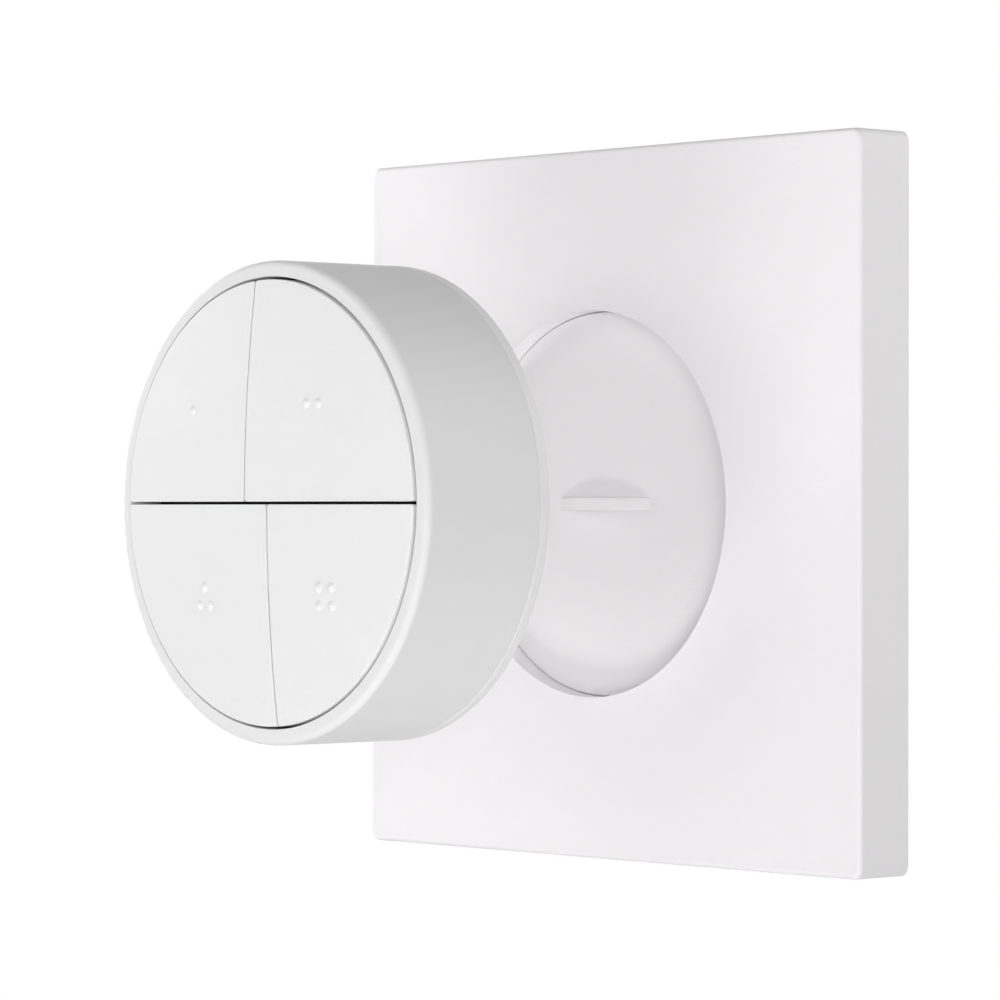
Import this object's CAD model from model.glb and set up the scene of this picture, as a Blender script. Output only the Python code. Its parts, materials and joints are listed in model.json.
import json
import math

import bmesh
import bpy
from mathutils import Matrix, Vector


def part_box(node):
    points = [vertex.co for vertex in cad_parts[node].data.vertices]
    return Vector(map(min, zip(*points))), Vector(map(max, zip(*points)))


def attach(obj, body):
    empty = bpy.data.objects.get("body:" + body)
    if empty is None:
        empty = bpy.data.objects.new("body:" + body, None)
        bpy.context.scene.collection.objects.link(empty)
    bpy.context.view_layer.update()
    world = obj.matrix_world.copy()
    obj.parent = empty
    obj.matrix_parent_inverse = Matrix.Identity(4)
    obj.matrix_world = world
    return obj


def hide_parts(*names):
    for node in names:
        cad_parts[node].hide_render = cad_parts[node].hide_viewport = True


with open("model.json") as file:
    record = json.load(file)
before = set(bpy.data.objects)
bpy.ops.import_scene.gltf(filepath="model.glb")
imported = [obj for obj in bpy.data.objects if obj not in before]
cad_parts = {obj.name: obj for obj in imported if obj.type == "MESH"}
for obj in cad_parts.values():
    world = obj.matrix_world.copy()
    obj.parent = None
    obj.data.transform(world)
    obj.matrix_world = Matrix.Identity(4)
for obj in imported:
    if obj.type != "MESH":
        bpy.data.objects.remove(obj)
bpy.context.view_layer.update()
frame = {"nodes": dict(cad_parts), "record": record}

# Sizes of the object, in metres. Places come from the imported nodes' boxes.
MM = 0.001
plate_corner = 1.2 * MM
plate_edge = 0.55 * MM
plate_wall = 1.8 * MM
plate_back_edge = 0.04 * MM
cavity_corner = 1.0 * MM
cavity_depth = 5.8 * MM
collar_foot = 28.0 * MM
collar_top = 21.7 * MM
collar_rise = 2.0 * MM
collar_edge = 0.15 * MM
socket_wall = 1.6 * MM
socket_back = 2.3 * MM
disc_radius = 21.63 * MM
disc_rim_drop = 0.25 * MM
disc_centre_drop = 0.6 * MM
disc_floor = 1.2 * MM
disc_skirt = 1.4 * MM
disc_edge = 0.15 * MM
key_length = 15.0 * MM
key_height = 1.5 * MM
key_rise = 1.5 * MM
key_edge = 0.2 * MM
seat_gap = 0.35 * MM
band_depth = 1.35 * MM
band_edge = 0.2 * MM
ring_seam = 0.03 * MM
ring_bore = 23.88 * MM
flange_bore = 22.63 * MM
flange_back = 2.7 * MM
flange_front = 4.1 * MM
step_radius = 23.58 * MM
step_front = 2.4 * MM
boss_radius = 21.2 * MM
boss_bore = 20.0 * MM
base_floor = -0.2 * MM
hub_radius = 14.7 * MM
hub_front = 2.9 * MM
hub_web_back = 1.9 * MM
cup_radius = 11.4 * MM
cup_bore = 10.4 * MM
cup_top = 5.2 * MM
opening_radius = 12.7 * MM
cover_radius = 12.4 * MM
cover_edge = 0.15 * MM
cover_rim_bore = 10.9 * MM
cover_rim_front = 1.5 * MM
cover_inner_face = 0.8 * MM
cover_slot_drop = 0.35 * MM
cover_slot_end_gap = 0.55 * MM
lug_angles = (0, 120, 240)
lug_turn = 30.0
lug_out_sweep = 30.0
lug_groove_radius = 13.8 * MM
lug_groove_front = 1.6 * MM
screw_circle = 17.93 * MM
screw_sink_radius = 2.15 * MM
screw_sink_front = -0.1 * MM
dial_depth = 17.0 * MM
ring_front_round = 0.8 * MM
ring_inner_round = 0.06 * MM
ring_land_drop = 0.12 * MM
ring_rear_round = 0.12 * MM
dome_rise = 1.57 * MM
dome_edge_rise = 0.2 * MM
cap_radius = 23.58 * MM
cap_back = 13.6 * MM
cap_round = 0.1 * MM
cap_corner = 0.35 * MM
cap_middle = 9.5 * MM
row_gap = 0.3 * MM
seam_gap = 0.2 * MM
seam_shift = 1.87 * MM
dot_radius = 0.55 * MM
dot_rise = 0.34 * MM
dot_sunk = 0.06 * MM
dot_pitch = 1.88 * MM
dot_1_across = 11.25 * MM
dot_1_up = 9.85 * MM
dot_2_across = 8.8 * MM
dot_2_up = 10.3 * MM
dot_3_across = 9.1 * MM
dot_3_down = 9.98 * MM
dot_4_across = 10.86 * MM
dot_4_down = 9.73 * MM

plate_low, plate_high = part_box("wall_plate")
ring_low, ring_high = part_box("dial_ring")
plate_side = plate_high.x - plate_low.x
plate_depth = -plate_low.y - collar_rise
dial_radius = (ring_high.x - ring_low.x) / 2
dial_back = -ring_low.y - dial_depth
collar_slope = collar_rise / (collar_foot - collar_top)
seated_back = plate_depth + collar_slope * (collar_foot - dial_radius) + seat_gap
disc_rim = plate_depth - disc_rim_drop
disc_centre = plate_depth - disc_centre_drop
dome_sphere = (ring_bore**2 + dome_rise**2) / (2 * dome_rise)
dome_apex = dial_depth + dome_edge_rise + dome_rise
screw_spots = [(screw_circle, 0), (0, screw_circle), (-screw_circle, 0), (0, -screw_circle)]

# Fineness of the meshes
SEGMENTS = 256
CORNER_STEPS = 6
SIDE_POINTS = 73
DISH_STEPS = 12
BACK_STEPS = 8
DOME_RINGS = 14
ARC_STEPS = 64
CAP_ARC_STEPS = 96
CAP_POINT_PITCH = 1.0 * MM
DOT_STEPS = 10
DOT_SEGMENTS = 32
SHARP_ANGLE = math.radians(35)
NORMAL_WEIGHT = 100
NO_RADIUS = 1e-9

# How far in the middle point of the collar's edge lies, as a share of the edge's size
EDGE_BEND = 0.3

# The bodies that only cut, and how far they run past what they cut
CUTTER_SEGMENTS = 48
WEDGE_STEPS = 16
CUT_PAST = 1.0 * MM

# Moulded grain: broad changes of tone, fine grain, how much the gloss varies, and the depth of the bumps
BROAD_SCALE = 45.0
BROAD_DETAIL = 3.0
FINE_DETAIL = 4.0
FINE_ROUGH = 0.65
GLOSS_SPREAD = 0.08
BUMP_DEPTH = 0.035 * MM
METAL_GRAIN = 0.15

# The photograph's view, fitted to the plate's corners: millimetres, degrees and metres
SENSOR_WIDTH = 36.0
LENS = 162.79
LENS_SHIFT_UP = 0.0125
VIEW_AZIMUTH = 47.988
VIEW_ROLL = 0.05
VIEW_PLACE = (0.37078, -0.35694, -0.00098)
NEAREST_SEEN = 0.01
FARTHEST_SEEN = 50.0

# Soft round lamps: name, azimuth and elevation in degrees, distance and width in metres, power in watts
LAMP_AIM = (0, -0.03, 0)
LAMPS = [
    ("left_grazing", -100, 12, 0.3, 0.16, 0.3),
    ("left", -75, 14, 0.3, 0.16, 0.25),
    ("upper_left", -50, 35, 0.3, 0.16, 0.12),
    ("front", 0, 10, 0.3, 0.16, 0.15),
    ("below", 0, -63, 0.3, 0.1, 0.23),
    ("behind_right", 148, 30, 0.3, 0.16, 0.24),
    ("right_far", 60, 0, 1.0, 0.5, 5.3),
    ("low_far", 0, -30, 1.0, 0.5, 2.5),
]
WORLD_LIGHT = 0.15

# The floor: its size and depth in metres, how pale it is, and where and how far it fades to white
FLOOR_SIZE = 30.0
FLOOR_DROP = 0.5
FLOOR_PALE = 0.9
FADE_FROM = 0.8
FADE_TO = 3.0
FADE_LEAST = 0.7


# Meshes


def new_object(name, bm):
    """An object in the scene from a closed bmesh, smooth where its faces nearly meet in line."""
    bmesh.ops.recalc_face_normals(bm, faces=bm.faces)
    mesh = bpy.data.meshes.new(name)
    bm.to_mesh(mesh)
    bm.free()
    mesh.polygons.foreach_set("use_smooth", [True] * len(mesh.polygons))
    mesh.set_sharp_from_angle(angle=SHARP_ANGLE)
    piece = bpy.data.objects.new(name, mesh)
    bpy.context.scene.collection.objects.link(piece)
    return piece


def weighted(piece):
    """Lets large faces set the shading where they meet small rounded ones."""
    modifier = piece.modifiers.new("weighted", "WEIGHTED_NORMAL")
    modifier.keep_sharp = True
    modifier.weight = NORMAL_WEIGHT
    return piece


def rounded(outline):
    """Points of a closed outline of (radius, forward, rounding) corners, with arcs at the rounded ones."""
    points = []
    for i, (radius, forward, rounding) in enumerate(outline):
        if not rounding:
            points.append((radius, forward))
            continue
        corner = Vector((radius, forward))
        before = (Vector(outline[i - 1][:2]) - corner).normalized()
        after = (Vector(outline[(i + 1) % len(outline)][:2]) - corner).normalized()
        half = before.angle(after) / 2
        reach = rounding / math.tan(half)
        centre = corner + (before + after).normalized() * (rounding / math.sin(half))
        first = corner + before * reach - centre
        last = corner + after * reach - centre
        turn = first.angle_signed(last)
        for step in range(CORNER_STEPS + 1):
            spoke = first.copy()
            spoke.rotate(Matrix.Rotation(-turn * step / CORNER_STEPS, 2))
            points.append(tuple(centre + spoke))
    return points


# Faces that several pieces share


def dish(radius):
    """How far forward the mount disc's dished face is."""
    return disc_centre + (disc_rim - disc_centre) * (radius / disc_radius) ** 2


def dial_dish(radius):
    """The dial's back, which follows the dish at the seat gap, from the dial's back edge."""
    return dish(radius) + seat_gap - seated_back


def dome(radius):
    """How far forward the domed face is, from the dial's back edge."""
    return dome_apex - dome_sphere + math.sqrt(dome_sphere**2 - radius**2)


# Rings of corners and the faces between them


def bridge(bm, first, second):
    """Faces between two rings of the same count, either of which may be a single point."""
    count = max(len(first), len(second))
    for i in range(count):
        j = (i + 1) % count
        corners = [ring[k % len(ring)] for ring, k in ((first, i), (first, j), (second, j), (second, i))]
        bm.faces.new(list(dict.fromkeys(corners)))


def bridge_all(bm, rings, closed=False):
    """Faces from each ring to the next, and back to the first where the body is closed that way."""
    following = rings[1:] + rings[:1] if closed else rings[1:]
    for first, second in zip(rings, following):
        bridge(bm, first, second)


def circle(bm, x, y, z, radius, segments):
    """A ring of corners about the axis through x and z, or one corner where it has no radius."""
    if radius < NO_RADIUS:
        return [bm.verts.new((x, y, z))]
    turns = [math.tau * i / segments for i in range(segments)]
    return [bm.verts.new((x + radius * math.cos(turn), y, z + radius * math.sin(turn))) for turn in turns]


def lathe(name, outline, base=0.0):
    """A closed body turned about the axis from (radius, forward) points, carried forward by base."""
    bm = bmesh.new()
    rings = [circle(bm, 0, -(forward + base), 0, radius, SEGMENTS) for radius, forward in outline]
    bridge_all(bm, rings, closed=len(rings[0]) > 1)
    return new_object(name, bm)


def square_ring(half, corner, inset):
    """Points round a square with round corners, moved in by inset along its normals."""
    points = []
    straight = half - corner
    for side in range(4):
        turn = Matrix.Rotation(math.pi / 2 * side, 2)
        for i in range(SIDE_POINTS):
            along = straight * (2 * i / (SIDE_POINTS - 1) - 1)
            points.append(turn @ Vector((half - inset, along)))
        for i in range(1, CORNER_STEPS):
            angle = math.pi / 2 * i / CORNER_STEPS
            normal = Vector((math.cos(angle), math.sin(angle)))
            points.append(turn @ (Vector((straight, straight)) + normal * (corner - inset)))
    return points


def circle_ring(radius, half, corner):
    """Points on a circle, in line with those of a rounded square."""
    return [spot.normalized() * radius for spot in square_ring(half, corner, 0.0)]


# Pieces


def plate_piece():
    """The square cover: collar, front, rounded edges, side walls, cavity and socket wall."""
    half = plate_side / 2
    inner = half - plate_wall

    def round_layer(radius, forward):
        return circle_ring(radius, half, plate_corner), forward

    def square_layer(inset, forward):
        return square_ring(half, plate_corner, inset), forward

    top = plate_depth + collar_rise
    bend = EDGE_BEND * collar_edge
    socket_radius = collar_top + socket_wall
    socket_top = cavity_depth + collar_slope * (collar_foot - socket_radius)
    layers = [
        round_layer(collar_top, socket_back),
        round_layer(collar_top, top - collar_edge),
        round_layer(collar_top + bend, top - bend),
        round_layer(collar_top + collar_edge, top - collar_edge * collar_slope),
        round_layer(collar_foot, plate_depth),
    ]
    for step in range(CORNER_STEPS + 1):
        angle = math.pi / 2 * step / CORNER_STEPS
        inset = plate_edge * (1 - math.sin(angle))
        layers.append(square_layer(inset, plate_depth - plate_edge * (1 - math.cos(angle))))
    layers += [
        square_layer(0.0, plate_back_edge),
        square_layer(plate_back_edge, 0.0),
        (square_ring(inner, cavity_corner, 0.0), 0.0),
        (square_ring(inner, cavity_corner, 0.0), cavity_depth),
        round_layer(collar_foot, cavity_depth),
        round_layer(socket_radius, socket_top),
        round_layer(socket_radius, socket_back),
    ]
    bm = bmesh.new()
    rings = [[bm.verts.new((spot.x, -forward, spot.y)) for spot in spots] for spots, forward in layers]
    bridge_all(bm, rings, closed=True)
    return weighted(new_object("plate_shell", bm))


def coin_slice(name, length, height, back, foot, top, base=0.0):
    """A slab with a round front and rounded rims, which is length wide at its foot and ends at back."""
    rise = top - foot
    radius = (length**2 / 4 + rise**2) / (2 * rise)
    centre = top - radius
    half_turn = math.acos((back - centre) / radius)
    turns = [math.pi / 2 * i / CORNER_STEPS for i in range(CORNER_STEPS + 1)]
    rim = [(key_edge * (1 - math.sin(turn)), height / 2 - key_edge * (1 - math.cos(turn))) for turn in turns]
    section = [(inset, -z) for inset, z in rim] + rim[::-1]
    bm = bmesh.new()
    rings = []
    for i in range(ARC_STEPS + 1):
        angle = half_turn * (2 * i / ARC_STEPS - 1)
        ring = []
        for inset, z in section:
            forward = max(back, centre + (radius - inset) * math.cos(angle))
            ring.append(bm.verts.new(((radius - inset) * math.sin(angle), -(forward + base), z)))
        for z in (height / 2, -height / 2):
            ring.append(bm.verts.new((radius * math.sin(angle), -(back - key_edge + base), z)))
        rings.append(ring)
    bridge_all(bm, rings)
    bm.faces.new(rings[0])
    bm.faces.new(rings[-1])
    return new_object(name, bm)


def disc_piece():
    """The dished disc in the plate's hole, with its skirt."""
    bracket = -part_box("mount_disc")[1].y
    radii = [disc_radius * i / DISH_STEPS for i in range(DISH_STEPS)]
    face = [(radius, dish(radius)) for radius in radii]
    rim = rounded([
        (*face[-1], 0),
        (disc_radius, disc_rim, disc_edge),
        (disc_radius, bracket, 0),
        (disc_radius - disc_skirt, bracket, 0),
        (disc_radius - disc_skirt, disc_centre - disc_floor, 0),
        (0, disc_centre - disc_floor, 0),
    ])
    return weighted(lathe("disc_face", face + rim[1:]))


def key_piece():
    """The horizontal key rib on the disc, with a round front like a coin's rim."""
    back = disc_centre - disc_floor / 2
    front = disc_centre + key_rise
    return weighted(coin_slice("disc_key", key_length, key_height, back, disc_centre, front))


def ring_piece():
    """The turning ring, with its land, rounded edges and inner flange."""
    back = band_depth + ring_seam
    outline = rounded([
        (dial_radius, back, ring_rear_round),
        (dial_radius, dial_depth - ring_land_drop, ring_front_round),
        (ring_bore, dial_depth, ring_inner_round),
        (ring_bore, flange_front, 0),
        (flange_bore, flange_front, 0),
        (flange_bore, flange_back, 0),
        (ring_bore, flange_back, 0),
        (ring_bore, back, 0),
    ])
    return weighted(lathe("ring_shell", outline, dial_back))


def cut_by(piece, cutters):
    """Cuts closed bodies out of a piece and takes them away."""
    for cutter in cutters:
        modifier = piece.modifiers.new("cut", "BOOLEAN")
        modifier.operation = "DIFFERENCE"
        modifier.solver = "EXACT"
        modifier.object = cutter
    graph = bpy.context.evaluated_depsgraph_get()
    mesh = bpy.data.meshes.new_from_object(piece.evaluated_get(graph))
    piece.modifiers.clear()
    piece.data = mesh
    mesh.set_sharp_from_angle(angle=SHARP_ANGLE)
    for cutter in cutters:
        bpy.data.objects.remove(cutter)
    return piece


def cylinder(name, x, z, radius, back, front, base):
    """A plain cylinder along the axis, used to cut with."""
    bm = bmesh.new()
    rings = [circle(bm, x, -(forward + base), z, radius, CUTTER_SEGMENTS) for forward in (back, front)]
    bridge_all(bm, rings)
    for ring in rings:
        bm.faces.new(ring)
    return new_object(name, bm)


def wedge(name, bore, radius, back, front, middle, sweep, base):
    """A part of a tube, used to cut with. Angles are about +Y from +X."""
    bm = bmesh.new()
    sections = []
    for i in range(WEDGE_STEPS + 1):
        angle = math.radians(middle - sweep / 2 + sweep * i / WEDGE_STEPS)
        corners = [(bore, back), (radius, back), (radius, front), (bore, front)]
        sections.append([
            bm.verts.new((reach * math.cos(angle), -(forward + base), -reach * math.sin(angle)))
            for reach, forward in corners
        ])
    bridge_all(bm, sections)
    bm.faces.new(sections[0])
    bm.faces.new(sections[-1])
    return new_object(name, bm)


def base_piece():
    """The fixed base: band, conical recess, boss, hub and cell cup, with screw sinks and lug ways cut in."""
    cone = collar_slope * (dial_radius - boss_radius)
    span = boss_radius - band_edge - opening_radius
    radii = [opening_radius + span * i / BACK_STEPS for i in range(1, BACK_STEPS)]
    outline = rounded([
        (boss_radius, dial_dish(boss_radius), band_edge),
        (boss_radius, cone, band_edge),
        (dial_radius, 0, band_edge),
        (dial_radius, band_depth, band_edge / 2),
        (step_radius, band_depth, 0),
        (step_radius, step_front, 0),
        (boss_bore, step_front, 0),
        (boss_bore, base_floor, 0),
        (hub_radius, base_floor, 0),
        (hub_radius, hub_front, 0),
        (cup_radius, hub_front, 0),
        (cup_radius, cup_top, 0),
        (cup_bore, cup_top, 0),
        (cup_bore, hub_web_back, 0),
        (opening_radius, hub_web_back, 0),
        (opening_radius, dial_dish(opening_radius), band_edge / 2),
    ])
    face = [(radius, dial_dish(radius)) for radius in radii]
    piece = lathe("base_shell", outline + face, dial_back)
    far = dial_dish(0) - CUT_PAST
    cutters = [
        cylinder(f"sink_{i}", x, z, screw_sink_radius, far, screw_sink_front, dial_back)
        for i, (x, z) in enumerate(screw_spots)
    ]
    for angle in lug_angles:
        way = (cup_bore, lug_groove_radius, far, lug_groove_front, angle + lug_turn, lug_out_sweep)
        cutters.append(wedge(f"way_{angle}", *way, dial_back))
    return weighted(cut_by(piece, cutters))


def cover_piece():
    """The round battery cover with its coin slot."""
    radii = [(cover_radius - cover_edge) * i / BACK_STEPS for i in range(BACK_STEPS)]
    outline = rounded([
        (cover_radius, dial_dish(cover_radius), cover_edge),
        (cover_radius, cover_rim_front, 0),
        (cover_rim_bore, cover_rim_front, 0),
        (cover_rim_bore, cover_inner_face, 0),
        (0, cover_inner_face, 0),
        (0, dial_dish(0), 0),
    ])
    face = [(radius, dial_dish(radius)) for radius in radii]
    piece = lathe("cover_shell", face + outline[:-1], dial_back)
    length = key_length + 2 * cover_slot_end_gap
    height = key_height + 2 * cover_slot_drop
    foot = dial_dish(0)
    slot = coin_slice("slot", length, height, foot - CUT_PAST, foot, foot + key_rise, dial_back)
    return weighted(cut_by(piece, [slot]))


def cap_outline(side, up):
    """Points round one cap, with their outward normals, and a point near its middle."""
    # The cap is worked out as if it were to the upper right and then mirrored.
    left = seam_gap / 2 - side * up * seam_shift
    low = row_gap / 2
    points = []

    def arc(centre, radius, start, end, steps):
        for i in range(steps + 1):
            angle = start + (end - start) * i / steps
            normal = Vector((math.cos(angle), math.sin(angle)))
            points.append((centre + normal * radius, normal))

    reach = cap_radius - cap_corner
    across = left + cap_corner
    height = low + cap_corner
    right = Vector((math.sqrt(reach**2 - height**2), height))
    top = Vector((across, math.sqrt(reach**2 - across**2)))
    start = math.atan2(right.y, right.x)
    end = math.atan2(top.y, top.x)
    arc(right, cap_corner, -math.pi / 2, start, CORNER_STEPS)
    arc(Vector((0, 0)), cap_radius, start, end, CAP_ARC_STEPS)
    arc(top, cap_corner, end, math.pi, CORNER_STEPS)
    arc(Vector((across, height)), cap_corner, math.pi, 1.5 * math.pi, CORNER_STEPS)
    filled = []
    for (spot, normal), (following, _) in zip(points, points[1:] + points[:1]):
        filled.append((spot, normal))
        steps = int((following - spot).length / CAP_POINT_PITCH)
        filled += [(spot.lerp(following, i / (steps + 1)), normal) for i in range(1, steps + 1)]
    flip = Vector((side, up))
    middle = Vector((left + cap_middle, low + cap_middle)) * flip
    return [(spot * flip, normal * flip) for spot, normal in filled], middle


def cap_piece(number, side, up):
    """A quarter of the domed face, with rounded edges and its skirt."""
    points, middle = cap_outline(side, up)
    bm = bmesh.new()

    def corner(spot, forward):
        return bm.verts.new((spot.x, -(forward + dial_back), spot.y))

    rings = [[corner(spot, cap_back) for spot, normal in points]]
    for step in range(CORNER_STEPS + 1):
        angle = math.pi / 2 * step / CORNER_STEPS
        drop = cap_round * (1 - math.sin(angle))
        inset = cap_round * (1 - math.cos(angle))
        spots = [spot - normal * inset for spot, normal in points]
        rings.append([corner(spot, dome(spot.length) - drop) for spot in spots])
    edge = spots
    for step in range(1, DOME_RINGS):
        spots = [spot.lerp(middle, step / DOME_RINGS) for spot in edge]
        rings.append([corner(spot, dome(spot.length)) for spot in spots])
    rings.append([corner(middle, dome(middle.length))])
    bridge_all(bm, rings)
    bm.faces.new(rings[0])
    return weighted(new_object(f"cap_{number}", bm))


def dots(count):
    """x and z of the raised dots of a cap, as seen from the front."""
    half = dot_pitch / 2
    if count == 1:
        return [(-dot_1_across, dot_1_up)]
    if count == 2:
        return [(dot_2_across + side * half, dot_2_up) for side in (-1, 1)]
    if count == 3:
        low = [(-dot_3_across + side * half, -dot_3_down - half) for side in (-1, 1)]
        return low + [(-dot_3_across, -dot_3_down + half)]
    return [(dot_4_across + side * half, -dot_4_down + up * half) for side in (-1, 1) for up in (-1, 1)]


def dot_piece(number, index, x, z):
    """A low round bump on the domed face."""
    sphere = (dot_radius**2 + dot_rise**2) / (2 * dot_rise)
    base = dome(math.hypot(x, z)) + dial_back
    bm = bmesh.new()
    rings = [circle(bm, x, dot_sunk - base, z, dot_radius, DOT_SEGMENTS)]
    for i in range(DOT_STEPS + 1):
        radius = dot_radius * (1 - i / DOT_STEPS)
        height = dot_rise - sphere + math.sqrt(sphere**2 - radius**2)
        rings.append(circle(bm, x, -(base + height), z, radius, DOT_SEGMENTS))
    bridge_all(bm, rings)
    bm.faces.new(rings[0])
    return new_object(f"dot_{number}_{index}", bm)


# Materials


def node(tree, kind, **values):
    """A shader node with its settings and the default values of its inputs."""
    made = tree.nodes.new(kind)
    for key, value in values.items():
        if hasattr(made, key):
            setattr(made, key, value)
        else:
            made.inputs[key.replace("_", " ")].default_value = value
    return made


def plastic(name, colour, roughness, grain, grain_size=0.25 * MM, specular=0.5, vary=0.01):
    """Moulded plastic: a fine spark-eroded grain, with slight changes of tone and gloss."""
    material = bpy.data.materials.new(name)
    material.use_nodes = True
    tree = material.node_tree
    tree.nodes.clear()
    out = tree.nodes.new("ShaderNodeOutputMaterial")
    shader = tree.nodes.new("ShaderNodeBsdfPrincipled")
    shader.inputs["Specular IOR Level"].default_value = specular
    tree.links.new(shader.outputs["BSDF"], out.inputs["Surface"])
    place = tree.nodes.new("ShaderNodeTexCoord")
    broad = node(tree, "ShaderNodeTexNoise", Scale=BROAD_SCALE, Detail=BROAD_DETAIL)
    fine = node(tree, "ShaderNodeTexNoise", Scale=1 / grain_size, Detail=FINE_DETAIL, Roughness=FINE_ROUGH)
    tree.links.new(place.outputs["Object"], broad.inputs["Vector"])
    tree.links.new(place.outputs["Object"], fine.inputs["Vector"])
    tone = tree.nodes.new("ShaderNodeMix")
    tone.data_type = "RGBA"
    light = [channel * (1 + vary) for channel in colour]
    dark = [channel * (1 - vary) for channel in colour]
    tone.inputs["A"].default_value = (*dark, 1)
    tone.inputs["B"].default_value = (*light, 1)
    tree.links.new(broad.outputs["Fac"], tone.inputs["Factor"])
    tree.links.new(tone.outputs["Result"], shader.inputs["Base Color"])
    least = roughness * (1 - GLOSS_SPREAD)
    most = roughness * (1 + GLOSS_SPREAD)
    gloss = node(tree, "ShaderNodeMapRange", To_Min=least, To_Max=most)
    tree.links.new(fine.outputs["Fac"], gloss.inputs["Value"])
    tree.links.new(gloss.outputs["Result"], shader.inputs["Roughness"])
    bump = node(tree, "ShaderNodeBump", Strength=grain, Distance=BUMP_DEPTH)
    tree.links.new(fine.outputs["Fac"], bump.inputs["Height"])
    tree.links.new(bump.outputs["Normal"], shader.inputs["Normal"])
    return material


def metal(name, colour, roughness, grain_size=0.4 * MM):
    """Plated or rolled metal with a fine, uneven gloss."""
    material = plastic(name, colour, roughness, METAL_GRAIN, grain_size)
    shader = material.node_tree.nodes["Principled BSDF"]
    shader.inputs["Metallic"].default_value = 1.0
    return material


def finishes():
    """Every material, by the record's slot."""
    return {
        "plate": plastic("plate_white", (0.868, 0.853, 0.866), 0.62, 1.0),
        "disc": plastic("disc_white", (0.822, 0.808, 0.818), 0.62, 1.0),
        "bracket": plastic("bracket_grey", (0.62, 0.62, 0.63), 0.6, 0.4),
        "foam": plastic("foam_liner", (0.16, 0.165, 0.17), 0.85, 0.8, 0.5 * MM, vary=0.06),
        "steel": metal("steel_sheet", (0.62, 0.62, 0.63), 0.32),
        "screw": metal("screw_steel", (0.6, 0.6, 0.61), 0.28),
        "ring": plastic("ring_satin", (0.82, 0.813, 0.82), 0.46, 0.08, 0.15 * MM, 0.15),
        "cap": plastic("cap_white", (0.836, 0.836, 0.836), 0.58, 1.0),
        "base": plastic("base_white", (0.845, 0.839, 0.845), 0.45, 0.2),
        "cover": plastic("cover_white", (0.8, 0.8, 0.81), 0.5, 0.25),
        "frame": plastic("frame_black", (0.02, 0.02, 0.022), 0.55, 0.3),
        "glide": plastic("glide_natural", (0.8, 0.78, 0.72), 0.35, 0.1),
        "rubber": plastic("seal_black", (0.02, 0.02, 0.02), 0.75, 0.4),
        "cell": metal("cell_steel", (0.7, 0.7, 0.7), 0.22),
        "contact": metal("contact_brass", (0.75, 0.6, 0.33), 0.25),
        "magnet": metal("magnet_nickel", (0.72, 0.71, 0.69), 0.16),
        "ferrite": plastic("ferrite_grey", (0.05, 0.048, 0.05), 0.6, 0.5),
        "board": plastic("board_green", (0.02, 0.12, 0.06), 0.35, 0.15, 0.8 * MM, vary=0.08),
        "shield": metal("shield_tin", (0.7, 0.7, 0.69), 0.3),
        "chip": plastic("chip_black", (0.03, 0.03, 0.032), 0.5, 0.3),
        "ceramic": plastic("ceramic_pale", (0.7, 0.73, 0.75), 0.4, 0.1),
        "switch": plastic("switch_black", (0.03, 0.03, 0.03), 0.5, 0.3),
        "plunger": plastic("plunger_natural", (0.72, 0.68, 0.6), 0.4, 0.1),
    }


# Pieces and nodes with their materials


def dress(piece, slot_name, materials):
    """Gives a new piece its material and names its slot."""
    piece.data.materials.clear()
    piece.data.materials.append(materials[slot_name])
    return piece


def build_pieces(materials):
    """Builds every new piece and sets it on its body in place of its CAD node."""
    made = [
        (plate_piece(), "plate", "wall", ["wall_plate"]),
        (disc_piece(), "disc", "wall", ["mount_disc"]),
        (key_piece(), "disc", "wall", []),
        (ring_piece(), "ring", "ring", ["dial_ring"]),
        (base_piece(), "base", "dial", ["rear_base"]),
        (cover_piece(), "cover", "cover", ["battery_cover"]),
    ]
    corners = [(-1, 1), (1, 1), (-1, -1), (1, -1)]
    for number, (side, up) in enumerate(corners, 1):
        body = f"button_{number}"
        made.append((cap_piece(number, side, up), "cap", body, [f"button_cap_{number}"]))
        for index, (x, z) in enumerate(dots(number), 1):
            made.append((dot_piece(number, index, x, z), "cap", body, []))
    for piece, slot_name, body, nodes in made:
        dress(piece, slot_name, materials)
        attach(piece, body)
        if nodes:
            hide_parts(*nodes)


def dress_nodes(materials):
    """Gives every CAD node the material of its slot."""
    slots = {row["node"]: row["material_slot"] for row in frame["record"]["subparts"]}
    for name, piece in frame["nodes"].items():
        for place in piece.material_slots:
            place.material = materials[slots[name]]


# Camera, lamps, backdrop and floor


def add_camera():
    """The photograph's view: level, from the right, through a long lens."""
    camera = bpy.data.cameras.new("view")
    camera.sensor_width = SENSOR_WIDTH
    camera.lens = LENS
    camera.shift_y = LENS_SHIFT_UP
    camera.clip_start = NEAREST_SEEN
    camera.clip_end = FARTHEST_SEEN
    holder = bpy.data.objects.new("view", camera)
    bpy.context.scene.collection.objects.link(holder)
    holder.location = VIEW_PLACE
    level = Matrix.Rotation(math.pi / 2, 3, "X")
    turn = Matrix.Rotation(math.radians(VIEW_AZIMUTH), 3, "Z") @ level
    holder.rotation_euler = (turn @ Matrix.Rotation(math.radians(VIEW_ROLL), 3, "Z")).to_euler()
    bpy.context.scene.camera = holder


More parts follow.
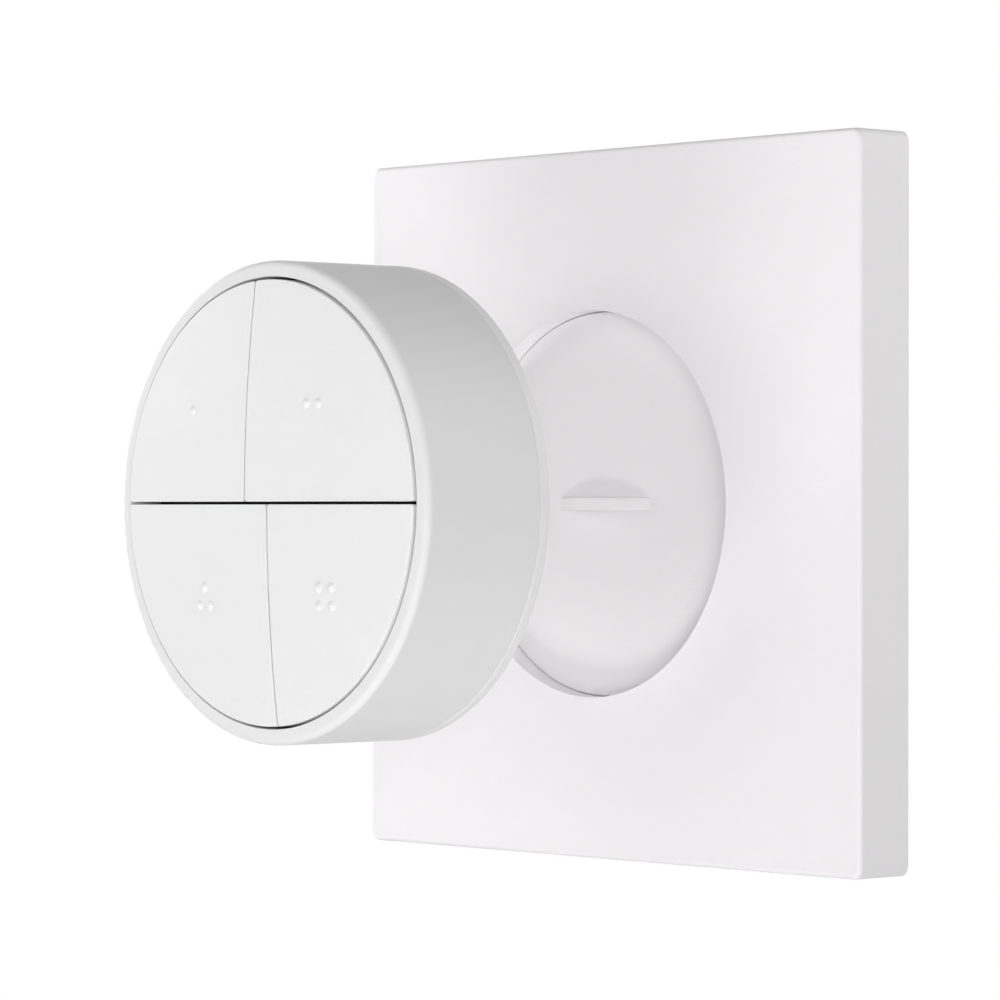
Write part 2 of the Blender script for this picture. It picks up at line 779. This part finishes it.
def add_lamp(name, azimuth, elevation, distance, size, power):
    """A round soft lamp aimed at the object. Azimuth is from straight in front, towards the right."""
    light = bpy.data.lights.new(name, "AREA")
    light.shape = "DISK"
    light.size = size
    light.energy = power
    lamp = bpy.data.objects.new(name, light)
    bpy.context.scene.collection.objects.link(lamp)
    turn, lift = math.radians(azimuth), math.radians(elevation)
    level = math.cos(lift)
    towards = Vector((math.sin(turn) * level, -math.cos(turn) * level, math.sin(lift)))
    lamp.location = Vector(LAMP_AIM) + towards * distance
    lamp.rotation_euler = towards.to_track_quat("Z", "Y").to_euler()


def add_lights():
    """Soft studio light from the left, the front, the right and below, with one lamp behind."""
    for row in LAMPS:
        add_lamp(*row)


def seen_share(tree):
    """1 for rays that show a thing, also in gloss or through glass, and 0 for the light that it gives."""
    path = tree.nodes.new("ShaderNodeLightPath")
    share = path.outputs["Is Camera Ray"]
    for ray in ("Is Glossy Ray", "Is Transmission Ray"):
        either = node(tree, "ShaderNodeMath", operation="MAXIMUM")
        tree.links.new(share, either.inputs[0])
        tree.links.new(path.outputs[ray], either.inputs[1])
        share = either.outputs[0]
    return share


def mixed(tree, share, first, second):
    """The output of a shader that goes from the first to the second with the share."""
    mix = tree.nodes.new("ShaderNodeMixShader")
    tree.links.new(share, mix.inputs["Fac"])
    tree.links.new(first, mix.inputs[1])
    tree.links.new(second, mix.inputs[2])
    return mix.outputs[0]


def add_world():
    """White where it is seen, directly or in gloss, and a soft grey light from all round otherwise."""
    world = bpy.data.worlds.new("studio")
    bpy.context.scene.world = world
    world.use_nodes = True
    tree = world.node_tree
    tree.nodes.clear()
    out = tree.nodes.new("ShaderNodeOutputWorld")
    seen = node(tree, "ShaderNodeBackground", Color=(1, 1, 1, 1), Strength=1.0)
    light = node(tree, "ShaderNodeBackground", Color=(1, 1, 1, 1), Strength=WORLD_LIGHT)
    shown = mixed(tree, seen_share(tree), light.outputs[0], seen.outputs[0])
    tree.links.new(shown, out.inputs["Surface"])


def add_floor():
    """A pale floor far below, which keeps a shadow near the object and goes white further off."""
    bm = bmesh.new()
    bmesh.ops.create_grid(bm, x_segments=1, y_segments=1, size=FLOOR_SIZE / 2)
    floor = new_object("floor", bm)
    floor.location = (0, 0, -FLOOR_DROP)
    material = bpy.data.materials.new("floor_pale")
    material.use_nodes = True
    tree = material.node_tree
    tree.nodes.clear()
    out = tree.nodes.new("ShaderNodeOutputMaterial")
    plain = node(tree, "ShaderNodeBsdfDiffuse", Color=(FLOOR_PALE, FLOOR_PALE, FLOOR_PALE, 1))
    white = node(tree, "ShaderNodeEmission", Color=(1, 1, 1, 1), Strength=1.0)
    place = tree.nodes.new("ShaderNodeTexCoord")
    distance = node(tree, "ShaderNodeVectorMath", operation="LENGTH")
    fade = node(tree, "ShaderNodeMapRange", From_Min=FADE_FROM, From_Max=FADE_TO, To_Min=FADE_LEAST)
    tree.links.new(place.outputs["Object"], distance.inputs[0])
    tree.links.new(distance.outputs["Value"], fade.inputs["Value"])
    faded = mixed(tree, fade.outputs["Result"], plain.outputs[0], white.outputs[0])
    shown = mixed(tree, seen_share(tree), plain.outputs[0], faded)
    tree.links.new(shown, out.inputs["Surface"])
    floor.data.materials.append(material)


add_camera()
finish_of = finishes()
dress_nodes(finish_of)
build_pieces(finish_of)
add_lights()
add_world()
add_floor()
bpy.context.scene.view_settings.view_transform = "Standard"
bpy.context.view_layer.update()
